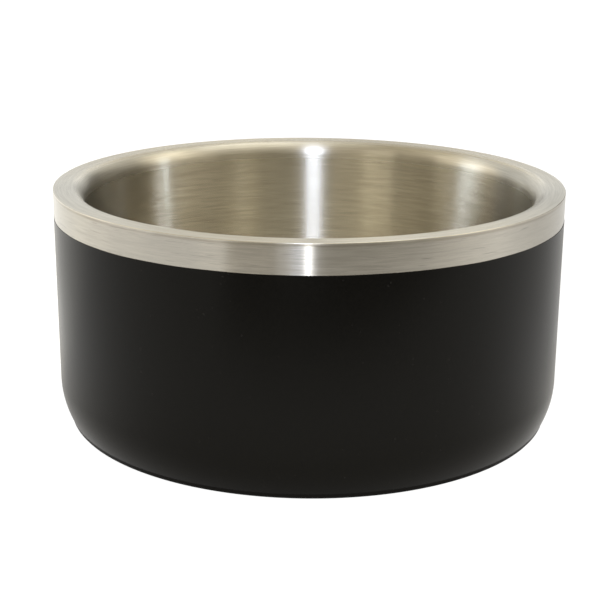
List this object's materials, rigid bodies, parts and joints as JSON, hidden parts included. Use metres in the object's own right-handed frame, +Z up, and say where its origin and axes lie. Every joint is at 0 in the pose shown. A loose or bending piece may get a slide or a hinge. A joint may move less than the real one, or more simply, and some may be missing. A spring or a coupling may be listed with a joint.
{
  "type": "double-walled bowl",
  "caption": "Round double-walled steel bowl with a flat lip, a bare brushed rim band over a black powder-coated wall, and a rubber non-slip foot ring.",
  "frame": {"origin": "on the bowl's axis, in the plane of the foot ring's underside, which is the floor the bowl stands on", "axes": "+Z up along the bowl's axis of revolution, +X to the right and -Y towards the viewer of the picture"},
  "size_m": [0.2062, 0.2062, 0.0955],
  "materials": {
    "liner_steel": "satin",
    "wall_steel": "satin",
    "weld_steel": "polished",
    "black_coat": "satin",
    "pan_steel": "satin",
    "seam_steel": "matte",
    "plug_rubber": "matte",
    "adhesive": "satin",
    "foot_rubber": "matte"
  },
  "bodies": {
    "root": {"inner_bowl": "liner_steel", "outer_wall": "wall_steel", "rim_weld": "weld_steel", "powder_coat": "black_coat", "base_pan": "pan_steel", "base_weld": "seam_steel", "vent_plug": "plug_rubber", "foot_adhesive": "adhesive", "foot_ring": "foot_rubber"}
  },
  "joints": []
}
